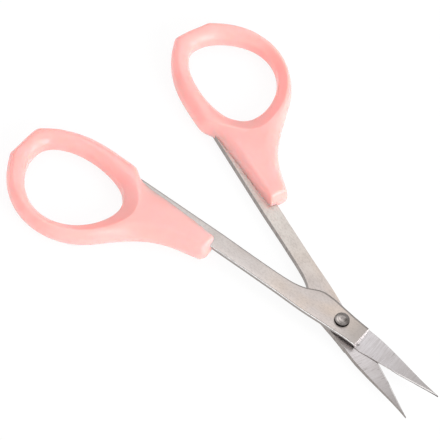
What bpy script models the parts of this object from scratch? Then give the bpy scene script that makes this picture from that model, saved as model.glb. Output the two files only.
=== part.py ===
"""Eyebrow scissors: two steel halves with moulded finger rings, turning on one rivet.

Metres, +Z up. The origin is on the rivet's axis, at the centre of its flat tail, and the tips point along +X.
Both halves are one shape. It is drawn closed, with the rivet's axis at its origin, the blades' meeting plane
at height zero and its ring on the -Y side. The back half is that shape turned over.
"""
import math

import bmesh
import bpy
from mathutils import Matrix, Vector

mm = 0.001

# Opening of the two halves at rest
REST_OPENING = math.radians(19)

# Steel blank
PLATE_THICKNESS = 1.8 * mm
RUNNING_GAP = 0.2 * mm
PIVOT_WIDTH = 6.2 * mm
SHANK_WIDTH = 4.0 * mm
SHANK_SPLAY = 1.9 * mm
CLOSED_SHANK_GAP = 0.2 * mm
FRONT_BLADE_REACH = 28.5 * mm
BACK_BLADE_REACH = 27.7 * mm
STEP_REACH = 6.0 * mm
BOLSTER_REACH = 8.1 * mm
NECK_REACH = 17.0 * mm
TANG_REACH = 57.0 * mm
TANG_WIDTH = 3.0 * mm
TANG_POINT_LENGTH = 4.0 * mm
TANG_POINT_WIDTH = 1.2 * mm
CURVE_STEPS = 5

# Outlines of the blade: share of the blade's length past the step, share of half the pivot width
BACK_EDGE_SHARES = ((0.0, 0.85), (0.17, 0.80), (0.35, 0.65), (0.57, 0.42), (0.78, 0.20))
CUTTING_EDGE_SHARES = (
    (0.0, -0.90), (0.08, -0.92), (0.15, -0.83), (0.30, -0.70), (0.44, -0.57), (0.57, -0.45), (0.68, -0.31),
    (0.80, -0.18), (0.91, -0.05),
)
TIP_SHARE = 0.04
# Back of the bolster round the pivot: share of the bolster's reach, share of half the pivot width
BOLSTER_SHARES = ((0.25, 0.92), (-0.21, 1.03), (-0.65, 1.12), (-1.0, 1.03))
# Sweep from the bolster down to the shank: share of the way back to the neck, share of the way down to it
SWEEP_SHARES = ((0.18, 0.26), (0.39, 0.61), (0.67, 0.87))
# Underside of the bolster: share of the neck's reach, share of half the pivot width
BELLY_SHARES = ((-0.53, -1.21), (-0.2, -1.06), (0.012, -0.97), (0.19, -0.91))

# Hollow grinding of the blade past the step
STEP_DEPTH = 0.35 * mm
GRIND_FALL_TO_EDGE = 1.1 * mm
GRIND_FALL_TO_TIP = 0.3 * mm

# Hole that keys the tang into the plastic
KEY_DIAMETER = 1.6 * mm
KEY_INSET = 9.0 * mm
KEY_EDGE = 2.2 * mm

# Rivet
HEAD_DIAMETER = 3.5 * mm
HEAD_HEIGHT = 0.8 * mm
HEAD_RIM = 0.25 * mm
SHAFT_DIAMETER = 2.6 * mm
SHAFT_CLEARANCE = 0.05 * mm
SEAT_GAP = 0.1 * mm
TAIL_DIAMETER = 3.6 * mm
TAIL_HEIGHT = 0.6 * mm
TAIL_CHAMFER = 0.12 * mm
DOME_STEPS = 6
ROUND_STEPS = 36

# Finger hole, an egg shape that is blunt towards the centre line and leans a little
HOLE_REACH = 69.3 * mm
HOLE_OFFSET = 15.4 * mm
HOLE_LENGTH = 24.0 * mm
HOLE_WIDTH = 20.9 * mm
HOLE_LEAN = 0.25 * mm
EGG_SHARE = 0.235
BLUNT_SHARE = 0.1

# Ring and stem
HANDLE_THICKNESS = 6.0 * mm
RING_WALL = 4.0 * mm
BOWL_WIDTH = 4.0 * mm
CLOSED_GAP = 0.3 * mm
SHOULDER_REACH = 60.6 * mm
SHOULDER_RUN = 1.2 * mm
FRONT_REACH = 34.4 * mm
STEM_WIDTH = 5.4 * mm
STEM_INSET = 2.1 * mm
MOULD_CLEARANCE = 0.2 * mm
RIM_HEIGHT_SHARE = 0.45
OUTER_HEIGHT_SHARE = 0.42
SHOULDER_HEIGHT_SHARE = 0.75
INNER_HEIGHT_SHARE = 0.6
FRONT_HEIGHT_SHARE = 0.72
CREST_SHARE = 0.5
BOWL_CREASE = 0.5
ROUNDING_LEVELS = 1

# Round the hole from its +X side: degrees of turn, share of the ring wall, share of the bowl width
RING_SHARES = (
    (0, 0.84, 0.74), (16, 1.08, 0.93), (32, 1.18, 0.93), (51, 1.40, 0.78), (61, 1.50, 0.60), (75, 1.34, 0.44),
    (90, 1.20, 0.34), (105, 1.12, 0.30), (120, 1.04, 0.30), (135, 1.09, 0.30), (147, 1.36, 0.32), (156, 1.22, 0.32),
    (172, 1.12, 0.32), (184, 1.34, 0.32), (193, 1.18, 0.30), (206, 1.11, 0.29), (222, 1.00, 0.30), (240, 0.89, 0.33),
    (258, 0.79, 0.38), (276, 0.74, 0.42), (294, 0.76, 0.47), (312, 0.88, 0.57), (330, 1.05, 0.64), (345, 0.97, 0.69),
)
# Stations of the ring that the stem grows from, from its outer side to its inner side, and the shoulder's corner
STEM_STATIONS = (-2, -1, 0, 1, 2, 3)
SHOULDER_STATION = STEM_STATIONS[-1] + 1
# Rows of the stem, inner edge and outer edge: share of the way from shoulder to front, and share of the stem's
# inset for the inner edge, share of the stem's width past that inset for the outer edge
STEM_ROWS_SHARES = (
    ((0.30, 0.95), (0.40, 2.50)),
    ((0.51, 0.98), (0.60, 1.74)),
    ((0.73, 1.02), (0.79, 1.42)),
    ((0.93, 1.10), (0.94, 1.22)),
    ((0.985, 1.30), (1.00, 1.02)),
)

OVERRUN = 1.0 * mm
CURVE_WELD = 0.001 * mm
MIRROR_WELD = 0.01 * mm
SMOOTH_ANGLE = math.radians(35)

# Heights above the meeting plane, and the meeting plane above the tail's face
PLATE_BOTTOM = RUNNING_GAP / 2
PLATE_TOP = PLATE_BOTTOM + PLATE_THICKNESS
MEETING_HEIGHT = TAIL_HEIGHT + SEAT_GAP + PLATE_TOP

HALF_PIVOT_WIDTH = PIVOT_WIDTH / 2
HALF_THICKNESS = HANDLE_THICKNESS / 2


def clear_scene():
    """Removes what a new file holds."""
    for item in list(bpy.data.objects):
        bpy.data.objects.remove(item)


def collection(name):
    """A collection of the scene."""
    group = bpy.data.collections.new(name)
    bpy.context.scene.collection.children.link(group)
    return group


def finish(name, colour, roughness, metallic):
    """A plain material."""
    material = bpy.data.materials.new(name)
    material.use_nodes = True
    shader = material.node_tree.nodes["Principled BSDF"]
    shader.inputs["Base Color"].default_value = (*colour, 1.0)
    shader.inputs["Roughness"].default_value = roughness
    shader.inputs["Metallic"].default_value = metallic
    return material


def shade(mesh):
    """Smooth faces with sharp corners."""
    mesh.shade_smooth()
    mesh.set_sharp_from_angle(angle=SMOOTH_ANGLE)


def place(item, group, parent):
    """Puts an object in its collection and under the half that carries it."""
    group.objects.link(item)
    item.parent = parent
    return item


def shank_edge(reach):
    """Inner edge of the shank at a distance behind the rivet: it falls away from the centre line."""
    fall = SHANK_SPLAY * (reach - NECK_REACH) / (TANG_REACH - NECK_REACH)
    return -CLOSED_SHANK_GAP / 2 - fall


def blank_outline(blade_reach):
    """Points of the steel blank, anticlockwise from the tip, each with its kind of corner."""
    blade = blade_reach - STEP_REACH
    points = [(blade_reach, TIP_SHARE * HALF_PIVOT_WIDTH, "VECTOR")]
    for along, across in reversed(BACK_EDGE_SHARES):
        points.append((STEP_REACH + along * blade, across * HALF_PIVOT_WIDTH, "AUTO"))
    for along, across in BOLSTER_SHARES:
        points.append((along * BOLSTER_REACH, across * HALF_PIVOT_WIDTH, "AUTO"))
    top = BOLSTER_SHARES[-1][1] * HALF_PIVOT_WIDTH
    neck = shank_edge(NECK_REACH)
    for back, down in SWEEP_SHARES:
        reach = BOLSTER_REACH + back * (NECK_REACH - BOLSTER_REACH)
        points.append((-reach, top + down * (neck - top), "AUTO"))
    points.append((-NECK_REACH, neck, "AUTO"))
    points.append((-FRONT_REACH, shank_edge(FRONT_REACH), "VECTOR"))
    tang = shank_edge(TANG_REACH)
    points.append((-TANG_REACH - TANG_POINT_LENGTH, tang, "VECTOR"))
    points.append((-TANG_REACH - TANG_POINT_LENGTH, tang - TANG_POINT_WIDTH, "VECTOR"))
    points.append((-TANG_REACH, tang - TANG_WIDTH, "VECTOR"))
    points.append((-FRONT_REACH, shank_edge(FRONT_REACH) - SHANK_WIDTH, "VECTOR"))
    points.append((-NECK_REACH, neck - SHANK_WIDTH, "AUTO"))
    for along, across in BELLY_SHARES:
        points.append((along * NECK_REACH, across * HALF_PIVOT_WIDTH, "AUTO"))
    for along, across in CUTTING_EDGE_SHARES:
        points.append((STEP_REACH + along * blade, across * HALF_PIVOT_WIDTH, "AUTO"))
    return points


def round_outline(centre, diameter):
    """Points of a round hole."""
    points = []
    for step in range(ROUND_STEPS):
        turn = 2 * math.pi * step / ROUND_STEPS
        across = Vector((math.cos(turn), math.sin(turn))) * diameter / 2
        points.append((centre[0] + across.x, centre[1] + across.y, "VECTOR"))
    return points


def flat_curve(name, outlines, low, high):
    """A flat outline with holes, filled and thickened from one height to another."""
    curve = bpy.data.curves.new(name, "CURVE")
    curve.dimensions = "2D"
    curve.fill_mode = "BOTH"
    curve.extrude = (high - low) / 2
    curve.resolution_u = CURVE_STEPS
    for points in outlines:
        spline = curve.splines.new("BEZIER")
        spline.bezier_points.add(len(points) - 1)
        spline.use_cyclic_u = True
        for knot, (x, y, kind) in zip(spline.bezier_points, points):
            knot.co = (x, y, 0)
            knot.handle_left_type = kind
            knot.handle_right_type = kind
    item = bpy.data.objects.new(name, curve)
    item.location = (0, 0, (low + high) / 2)
    return item


def solid_from_curve(curve_object):
    """Turns a thickened curve into one closed mesh object and removes the curve."""
    name = curve_object.name
    curve_object.name = name + "_curve"
    bpy.context.scene.collection.objects.link(curve_object)
    bpy.context.view_layer.update()
    evaluated = curve_object.evaluated_get(bpy.context.evaluated_depsgraph_get())
    mesh = bpy.data.meshes.new_from_object(evaluated)
    mesh.name = name
    welded = bmesh.new()
    welded.from_mesh(mesh)
    bmesh.ops.remove_doubles(welded, verts=welded.verts, dist=CURVE_WELD)
    bmesh.ops.recalc_face_normals(welded, faces=welded.faces)
    welded.to_mesh(mesh)
    welded.free()
    solid = bpy.data.objects.new(name, mesh)
    solid.matrix_world = curve_object.matrix_world
    bpy.data.objects.remove(curve_object)
    return solid


def box(name, low, high):
    """A box between two corners."""
    shape = bmesh.new()
    bmesh.ops.create_cube(shape, size=1)
    span = Vector(high) - Vector(low)
    middle = (Vector(high) + Vector(low)) / 2
    bmesh.ops.transform(shape, matrix=Matrix.Translation(middle) @ Matrix.Diagonal((*span, 1)), verts=shape.verts)
    mesh = bpy.data.meshes.new(name)
    shape.to_mesh(mesh)
    shape.free()
    return bpy.data.objects.new(name, mesh)


def cut(item, cutter):
    """Cuts a cutter out of an object."""
    cutter.hide_render = True
    cutter.display_type = "WIRE"
    modifier = item.modifiers.new(cutter.name, "BOOLEAN")
    modifier.operation = "DIFFERENCE"
    modifier.solver = "EXACT"
    modifier.object = cutter


def grinding_cutter(name, blade_reach):
    """What the wheel takes off the outer face past the step: deeper towards the cutting edge and the tip."""
    cutter = box(name, (0, -PIVOT_WIDTH, 0), (blade_reach, OVERRUN, PLATE_THICKNESS))
    back = BACK_EDGE_SHARES[0][1] * HALF_PIVOT_WIDTH
    edge = CUTTING_EDGE_SHARES[0][1] * HALF_PIVOT_WIDTH
    cutter.location = (STEP_REACH, back, PLATE_TOP - STEP_DEPTH)
    cutter.rotation_euler = (
        math.atan(GRIND_FALL_TO_EDGE / (back - edge)),
        math.atan(GRIND_FALL_TO_TIP / (blade_reach - STEP_REACH)),
        0,
    )
    return cutter


def key_centre():
    """Centre of the keying hole, a little in from the tang's inner edge."""
    reach = TANG_REACH - KEY_INSET
    return (-reach, shank_edge(reach) - KEY_EDGE)


def make_blade(name, blade_reach, parts, cutters, parent, steel):
    """One steel half: blade, bolster with the rivet hole, shank and tang."""
    pivot_hole = round_outline((0, 0), SHAFT_DIAMETER + 2 * SHAFT_CLEARANCE)
    key_hole = round_outline(key_centre(), KEY_DIAMETER)
    outlines = [blank_outline(blade_reach), pivot_hole, key_hole]
    blade = solid_from_curve(flat_curve(name, outlines, PLATE_BOTTOM, PLATE_TOP))
    place(blade, parts, parent)
    cut(blade, place(grinding_cutter(name + "_grinding", blade_reach), cutters, parent))
    blade.data.materials.append(steel)
    shade(blade.data)
    return blade


def hole_place(station, outward, height):
    """A point beside the finger hole's edge: station turns round it, outward is square to it."""
    turn = math.radians(RING_SHARES[station][0])
    s = math.sin(turn)
    c = math.cos(turn)
    bulge = 1 + EGG_SHARE * s + BLUNT_SHARE * s * s
    edge = Vector((HOLE_LENGTH / 2 * c * bulge + HOLE_LEAN * s, HOLE_WIDTH / 2 * s))
    along = Vector((
        HOLE_LENGTH / 2 * (-s * bulge + c * c * (EGG_SHARE + 2 * BLUNT_SHARE * s)) + HOLE_LEAN * c,
        HOLE_WIDTH / 2 * c,
    ))
    normal = Vector((along.y, -along.x)).normalized()
    spot = Vector((-HOLE_REACH, -HOLE_OFFSET)) + edge + normal * outward
    return Vector((spot.x, spot.y, height))


def extrude_row(mesh, row, places, closed=False):
    """Extrudes a row of vertices, moves the new row to its places and returns it in the same order."""
    ends = row[1:] + row[:1] if closed else row[1:]
    edges = [mesh.edges.get(pair) for pair in zip(row, ends)]
    grown = bmesh.ops.extrude_edge_only(mesh, edges=edges)["geom"]
    found = {tuple(item.co): item for item in grown if isinstance(item, bmesh.types.BMVert)}
    new_row = [found[tuple(vertex.co)] for vertex in row]
    for vertex, spot in zip(new_row, places):
        vertex.co = spot
    return new_row


def stem_row(shares):
    """Places across the stem, from its outer edge to its inner edge."""
    way = SHOULDER_REACH - FRONT_REACH
    (inner_along, inner_share), (outer_along, outer_share) = shares
    inner = Vector((inner_along * way - SHOULDER_REACH, -inner_share * STEM_INSET, 0))
    inner.z = INNER_HEIGHT_SHARE * HALF_THICKNESS
    outer = Vector((outer_along * way - SHOULDER_REACH, -STEM_INSET - outer_share * STEM_WIDTH, 0))
    outer.z = OUTER_HEIGHT_SHARE * HALF_THICKNESS
    count = len(STEM_STATIONS) - 1
    return [outer.lerp(inner, step / count) for step in range(count + 1)]


def crease(mesh, row, strength, closed=False):
    """Keeps the edges along a row crisp."""
    layer = mesh.edges.layers.float.get("crease_edge") or mesh.edges.layers.float.new("crease_edge")
    ends = row[1:] + row[:1] if closed else row[1:]
    for pair in zip(row, ends):
        mesh.edges.get(pair)[layer] = strength


def crest_height(row):
    """Lifts the inner vertices of a row to the height of the crest."""
    for vertex in row[1:-1]:
        vertex.co.z = HALF_THICKNESS


def ring_outline(stations):
    """Places along the outside of the ring. The shoulder's corner and its foot follow the shank, not the hole."""
    places = []
    for station in stations:
        places.append(hole_place(station, RING_SHARES[station][1] * RING_WALL, OUTER_HEIGHT_SHARE * HALF_THICKNESS))
    height = SHOULDER_HEIGHT_SHARE * HALF_THICKNESS
    places[SHOULDER_STATION] = Vector((-SHOULDER_REACH, -CLOSED_GAP / 2, height))
    places[STEM_STATIONS[-1]] = Vector((SHOULDER_RUN - SHOULDER_REACH, -STEM_INSET, height))
    return places


def handle_cage():
    """Coarse upper half of the handle: rings of points round the finger hole, then rows along the stem."""
    stations = range(len(RING_SHARES))
    cage = bmesh.new()
    made = bmesh.ops.create_circle(cage, segments=len(RING_SHARES), radius=1)["verts"]
    hole = sorted(made, key=lambda vertex: math.atan2(vertex.co.y, vertex.co.x) % (2 * math.pi))
    for station, vertex in zip(stations, hole):
        vertex.co = hole_place(station, 0, 0)
    rim_places = [hole_place(station, 0, RIM_HEIGHT_SHARE * HALF_THICKNESS) for station in stations]
    bowl_places = [hole_place(station, RING_SHARES[station][2] * BOWL_WIDTH, HALF_THICKNESS) for station in stations]
    outer_places = ring_outline(stations)
    crest_places = [inner.lerp(outer, CREST_SHARE) for inner, outer in zip(bowl_places, outer_places)]
    for spot in crest_places:
        spot.z = HALF_THICKNESS
    rim = extrude_row(cage, hole, rim_places, closed=True)
    bowl = extrude_row(cage, rim, bowl_places, closed=True)
    crest = extrude_row(cage, bowl, crest_places, closed=True)
    outer = extrude_row(cage, crest, outer_places, closed=True)
    row = [outer[station] for station in STEM_STATIONS]
    crest_height(row)
    stem_rows = [row]
    for shares in STEM_ROWS_SHARES:
        row = extrude_row(cage, row, stem_row(shares))
        crest_height(row)
        stem_rows.append(row)
    for vertex in row:
        vertex.co.z = FRONT_HEIGHT_SHARE * HALF_THICKNESS
    outer_side = [stem[0] for stem in stem_rows[1:]]
    inner_side = [stem[-1] for stem in reversed(stem_rows[1:])]
    past_shoulder = outer[STEM_STATIONS[-1]:STEM_STATIONS[0]] + [outer[STEM_STATIONS[0]]]
    outline = past_shoulder + outer_side + row[1:-1] + inner_side
    extrude_row(cage, outline, [(v.co.x, v.co.y, 0) for v in outline], closed=True)
    crease(cage, [bowl[station] for station in STEM_STATIONS], BOWL_CREASE)
    return cage


def tang_slot(name):
    """Room for the tang, open at the stem's front and along its inner side, round a post in the keying hole."""
    end = -TANG_REACH - TANG_POINT_LENGTH - MOULD_CLEARANCE
    tang = shank_edge(TANG_REACH)
    point_low = tang - TANG_POINT_WIDTH - MOULD_CLEARANCE
    low = tang - TANG_WIDTH - MOULD_CLEARANCE
    front_low = shank_edge(FRONT_REACH) - SHANK_WIDTH - MOULD_CLEARANCE
    front = -FRONT_REACH + OVERRUN
    corners = [
        (front, OVERRUN), (end, OVERRUN), (end, point_low), (-TANG_REACH - MOULD_CLEARANCE, low),
        (-FRONT_REACH, front_low), (front, front_low),
    ]
    outline = [(x, y, "VECTOR") for x, y in corners]
    post = round_outline(key_centre(), KEY_DIAMETER - 2 * MOULD_CLEARANCE)
    curve = flat_curve(name, [outline, post], PLATE_BOTTOM - MOULD_CLEARANCE, PLATE_TOP + MOULD_CLEARANCE)
    return solid_from_curve(curve)


def make_handle(name, parts, cutters, parent, plastic):
    """One moulded handle: finger ring, bowl and stem, alike on both faces."""
    cage = handle_cage()
    mesh = bpy.data.meshes.new(name)
    cage.to_mesh(mesh)
    cage.free()
    handle = place(bpy.data.objects.new(name, mesh), parts, parent)
    mirror = handle.modifiers.new("both_faces", "MIRROR")
    mirror.use_axis = (False, False, True)
    mirror.merge_threshold = MIRROR_WELD
    rounding = handle.modifiers.new("rounding", "SUBSURF")
    rounding.levels = ROUNDING_LEVELS
    rounding.render_levels = ROUNDING_LEVELS
    cut(handle, place(tang_slot(name + "_slot"), cutters, parent))
    mesh.materials.append(plastic)
    shade(mesh)
    return handle


def rivet_profile():
    """Half section of the rivet from the top of its dome down to its tail, from the meeting plane."""
    rim_height = PLATE_TOP + SEAT_GAP
    rise = HEAD_HEIGHT - HEAD_RIM
    head_radius = HEAD_DIAMETER / 2
    dome_radius = (head_radius ** 2 + rise ** 2) / (2 * rise)
    half_angle = math.asin(head_radius / dome_radius)
    centre_height = rim_height + HEAD_HEIGHT - dome_radius
    points = []
    for step in range(DOME_STEPS + 1):
        turn = half_angle * step / DOME_STEPS
        points.append((dome_radius * math.sin(turn), centre_height + dome_radius * math.cos(turn)))
    points.append((head_radius, rim_height))
    points.append((SHAFT_DIAMETER / 2, rim_height))
    points.append((SHAFT_DIAMETER / 2, -rim_height))
    points.append((TAIL_DIAMETER / 2, -rim_height))
    points.append((TAIL_DIAMETER / 2, TAIL_CHAMFER - rim_height - TAIL_HEIGHT))
    points.append((TAIL_DIAMETER / 2 - TAIL_CHAMFER, -rim_height - TAIL_HEIGHT))
    points.append((0, -rim_height - TAIL_HEIGHT))
    return points


def make_rivet(name, parts, parent, steel):
    """The rivet: domed head, shaft through both halves and flat tail, turned in one piece."""
    shape = bmesh.new()
    row = [shape.verts.new((radius, 0, height)) for radius, height in rivet_profile()]
    for pair in zip(row, row[1:]):
        shape.edges.new(pair)
    mesh = bpy.data.meshes.new(name)
    shape.to_mesh(mesh)
    shape.free()
    rivet = place(bpy.data.objects.new(name, mesh), parts, parent)
    turning = rivet.modifiers.new("turning", "SCREW")
    turning.steps = ROUND_STEPS
    turning.render_steps = ROUND_STEPS
    turning.use_merge_vertices = True
    turning.merge_threshold = CURVE_WELD
    mesh.materials.append(steel)
    return rivet


def half_carrier(name, group, turned_over):
    """Empty on the rivet's axis that carries one half, opened to its side."""
    carrier = bpy.data.objects.new(name, None)
    group.objects.link(carrier)
    carrier.location = (0, 0, MEETING_HEIGHT)
    carrier.rotation_euler = (math.pi, 0, -REST_OPENING / 2) if turned_over else (0, 0, REST_OPENING / 2)
    return carrier


def main():
    """Builds the scissors."""
    clear_scene()
    parts = collection("eyebrow_scissors")
    cutters = collection("cutters")
    plastic = finish("pink_plastic", (1.0, 0.51, 0.47), 0.3, 0.0)
    blade_steel = finish("blade_steel", (0.60, 0.56, 0.54), 0.35, 1.0)
    rivet_steel = finish("rivet_steel", (0.52, 0.48, 0.45), 0.3, 1.0)
    front = half_carrier("front_half", parts, turned_over=False)
    back = half_carrier("back_half", parts, turned_over=True)
    halves = (("front", front, FRONT_BLADE_REACH), ("back", back, BACK_BLADE_REACH))
    for side, carrier, blade_reach in halves:
        make_blade(side + "_blade", blade_reach, parts, cutters, carrier, blade_steel)
        make_handle(side + "_handle", parts, cutters, carrier, plastic)
    make_rivet("pivot_rivet", parts, front, rivet_steel)


main()
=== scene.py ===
"""Eyebrow scissors with moulded pink finger rings, dressed for their photograph."""
import math

import bmesh
import bpy
from mathutils import Euler, Matrix, Vector


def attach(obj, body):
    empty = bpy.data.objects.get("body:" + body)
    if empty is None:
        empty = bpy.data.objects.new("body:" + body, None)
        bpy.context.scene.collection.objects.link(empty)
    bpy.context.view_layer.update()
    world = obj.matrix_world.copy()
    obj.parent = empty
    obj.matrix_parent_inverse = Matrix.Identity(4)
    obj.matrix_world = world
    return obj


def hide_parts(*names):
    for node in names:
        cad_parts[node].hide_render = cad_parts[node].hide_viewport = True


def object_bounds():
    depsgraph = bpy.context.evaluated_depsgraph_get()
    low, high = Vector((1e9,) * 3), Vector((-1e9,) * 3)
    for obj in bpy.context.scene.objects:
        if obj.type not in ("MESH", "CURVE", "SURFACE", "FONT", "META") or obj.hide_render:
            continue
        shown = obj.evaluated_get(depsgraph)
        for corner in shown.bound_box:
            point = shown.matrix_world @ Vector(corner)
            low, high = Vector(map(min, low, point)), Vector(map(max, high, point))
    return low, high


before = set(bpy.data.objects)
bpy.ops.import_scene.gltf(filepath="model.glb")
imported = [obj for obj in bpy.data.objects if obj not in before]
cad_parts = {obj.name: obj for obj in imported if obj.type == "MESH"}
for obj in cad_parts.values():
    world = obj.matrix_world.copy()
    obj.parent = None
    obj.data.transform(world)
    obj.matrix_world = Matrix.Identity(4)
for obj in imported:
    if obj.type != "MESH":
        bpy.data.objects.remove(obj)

cad_low, cad_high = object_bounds()

mm = 0.001

# Camera: the scissors fill a square frame, seen from above their right side
VIEW_AZIMUTH = math.radians(34.96)
VIEW_ELEVATION = math.radians(56.66)
VIEW_ROLL = math.radians(15.37)
VIEW_DISTANCE = 743.8 * mm
VIEW_TARGET = Vector((-38.21, -3.46, 2.6)) * mm
LENS = 258.97
SENSOR = 36.0
NEAREST_SEEN = 0.01
FARTHEST_SEEN = 10

# Light: the level of the room all round, then each softbox: degrees of azimuth and of height, its
# size in metres and its level
ROOM_LEVEL = 0.5
SOFTBOXES = (
    (3, 25, 0.40, 6.6),
    (42, 15, 0.25, 5.5),
    (-85, 26, 0.40, 2.0),
    (180, 60, 0.40, 1.1),
    (50, 45, 0.45, 1.0),
    (130, 67, 0.75, 0.66),
)
SOFTBOX_DISTANCE = 0.7

# Paper under the scissors, and the share of plain white in what camera and steel see of it
FLOOR_SIZE = 4.0
PAPER_WHITE = 0.9

# The two halves: opening at rest and height of the plane in which they meet
REST_OPENING = math.radians(19)
MEETING_HEIGHT = 2.6 * mm

# Steel blank: its thickness and widths, how far each part of it reaches from the rivet, and the
# spacing of the sections and of the points on its outlines
PLATE_BOTTOM = 0.1 * mm
PLATE_TOP = 1.9 * mm
INNER_FACE_HEIGHT = 0.02 * mm
HALF_PIVOT_WIDTH = 3.1 * mm
SHANK_WIDTH = 4.0 * mm
SHANK_SPLAY = 1.9 * mm
FRONT_BLADE_REACH = 28.45 * mm
BACK_BLADE_REACH = 27.65 * mm
STEP_REACH = 6.0 * mm
BOLSTER_REACH = 8.1 * mm
NECK_REACH = 17.0 * mm
NECK_LEAD = 2.0 * mm
BEND_REACH = 45.0 * mm
TANG_REACH = 57.0 * mm
TANG_WIDTH = 3.0 * mm
TANG_FALL = 0.5 * mm
TANG_POINT_LENGTH = 4.0 * mm
TANG_POINT_WIDTH = 1.2 * mm
STATION_SPACING = 0.7 * mm
LINE_STEPS = 12

# Outlines of the blade: share of the blade's length past the step, share of half the pivot width
BACK_EDGE_SHARES = ((0.0, 0.85), (0.17, 0.80), (0.35, 0.65), (0.57, 0.42), (0.78, 0.20))
CUTTING_EDGE_SHARES = (
    (0.0, -0.90), (0.08, -0.92), (0.15, -0.83), (0.30, -0.70), (0.44, -0.57), (0.57, -0.45),
    (0.68, -0.31), (0.80, -0.18), (0.91, -0.05),
)
TIP_SHARE = 0.04
# Back of the bolster round the pivot: share of the bolster's reach, share of half the pivot width
BOLSTER_SHARES = ((0.25, 0.92), (-0.21, 1.03), (-0.65, 1.12), (-1.0, 1.03))
# Sweep from the bolster to the shank: share of the way back to the neck, share of the way down
SWEEP_SHARES = ((0.18, 0.26), (0.39, 0.61), (0.67, 0.87))
# Underside of the bolster: share of the neck's reach, share of half the pivot width
BELLY_SHARES = ((-0.53, -1.21), (-0.2, -1.06), (0.012, -0.97), (0.19, -0.91))

# Grinding of the blade past the step, the length of the step's slope at its two ends, and how far
# the last section stays from the tip
STEP_DEPTH = 0.35 * mm
GRIND_FALL_TO_EDGE = 1.34 * mm
GRIND_FALL_TO_TIP = 0.3 * mm
STEP_RUN_BACK = 0.28 * mm
STEP_RUN_EDGE = 0.38 * mm
TIP_SETBACK = 0.05 * mm

# Painted shade at the foot of the front half's step: its place, turn and half spans
STEP_SHADE_PLACE = (6.46 * mm, -1.85 * mm, 3.25 * mm)
STEP_SHADE_TURN = math.radians(45)
STEP_SHADE_SPANS = (0.65 * mm, 0.28 * mm, 0.5 * mm)

# Rounded edges of the outer face and its overhang on the cutting side. A rounding takes at most a
# share of the section's width, and on the cutting side a share of its height
BACK_ROUND_RUN = 0.5 * mm
BACK_ROUND_DROP = 0.13 * mm
SHANK_ROUND_SHARE = 0.5
EDGE_ROUND = 0.36 * mm
EDGE_OVERHANG = 0.46 * mm
GROUND_EDGE_ROUND = 0.06 * mm
ROUND_SHARE = 0.4
WALL_ROUND_SHARE = 0.8
ARC_STEPS = 3
FACE_STEPS = 4

# Honed bevel near the tip: its width, and where it starts, is full and ends along the blade
BEVEL_WIDTH = 0.18 * mm
BEVEL_START_SHARE = 0.46
BEVEL_FULL_SHARE = 0.58
BEVEL_END_SHARE = 0.9

# Relief under the bolster's lower edge and bevel under the cutting edge
RELIEF_HEIGHT = 0.4 * mm
RELIEF_DEPTH = 0.7 * mm
RELIEF_START = -2.0 * mm
RELIEF_FULL = 4.5 * mm
INNER_BEVEL_WIDTH = 0.28 * mm
INNER_BEVEL_HEIGHT = 0.12 * mm
WALL_FOOT_SHARE = 0.2

# Rivet and the hole for it
HEAD_RADIUS = 1.75 * mm
HEAD_HEIGHT = 0.95 * mm
HEAD_RIM = 0.5 * mm
HEAD_UNDERCUT = 0.3 * mm
SHAFT_RADIUS = 1.3 * mm
SEAT_GAP = 0.1 * mm
TAIL_RADIUS = 1.8 * mm
TAIL_HEIGHT = 0.6 * mm
TAIL_CHAMFER = 0.12 * mm
DOME_STEPS = 8
TURNED_SIDES = 72
HOLE_RADIUS = 1.35 * mm
HOLE_SIDES = 48
DRILL_LENGTH = 3 * PLATE_TOP

# Edges of the steel that turn by more than this look sharp
SMOOTH_ANGLE = math.radians(35)

# Marks on the steel round the rivet: width of the painted shadow at its head's foot, spacing of
# the lathe's rings, turn of the dome's wedge of painted dark reflection, and radii between which
# the wedge comes in
HEAD_SHADE_WIDTH = 0.15 * mm
TURNED_SPACING = 0.22 * mm
WEDGE_TURN = math.radians(-18)
WEDGE_RADII = (0.2 * mm, 0.7 * mm)

# Which faces are walls, flat faces, the step and the back's rounding, by parts of their normals,
# and where the grinding of the inner face starts
WALL_SLOPE = 0.5
STEEP_SLOPE = 0.25
FACE_SLOPE = 0.9
STEP_FACE_SLOPE = 0.4
FLAT_SLOPE = 0.01
BACK_SLOPE = 0.05
INNER_GRIND_START = -5.0 * mm

# Slots of a blade's finishes past the first, which is the satin of its faces
GROUND, SHEARED, ROUNDED, HONED, PAINTED_LIGHT_WALL, DARK_REFLECTION_WALL = range(1, 7)
# Slot of the rivet's second finish, past the turned one: its rough sides, painted near-black as
# shade
SHADED_SIDES = 1

# Light and dark colour of each kind of sheared wall: the plain one; a paler copy, painted light,
# for the cutting side's walls; a darker copy, painted dark reflection, for those walls near the
# tip; and a near-black one, painted shade, for the rivet's sides
SHEARED_COLOURS = ("#A59E9A", "#7D7672")
PAINTED_LIGHT_COLOURS = ("#CCC6C2", "#A49D99")
DARK_REFLECTION_COLOURS = ("#6E6765", "#4E4846")
SHADED_SIDE_COLOURS = ("#2A2624", "#1C1918")

# The halves: side, whether turned over, reach of the blade, colour of the shank, colours of the
# ground blade at its heel and at its tip
HALVES = (
    ("front", False, FRONT_BLADE_REACH, "#C9C2BF", "#C9C5C7", "#A8A3A2"),
    ("back", True, BACK_BLADE_REACH, "#D2CBC5", "#D4CFD0", "#948F8D"),
)

# Values of a noise between which a surface's roughness follows it
PATTERN_LOW = 0.3
PATTERN_HIGH = 0.7

# Finger hole, an egg shape that is blunt towards the centre line and leans a little
HOLE_REACH = 69.3 * mm
HOLE_OFFSET = 15.4 * mm
HOLE_LENGTH = 24.0 * mm
HOLE_WIDTH = 20.9 * mm
HOLE_LEAN = 0.25 * mm
EGG_SHARE = 0.235
BLUNT_SHARE = 0.1

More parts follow.
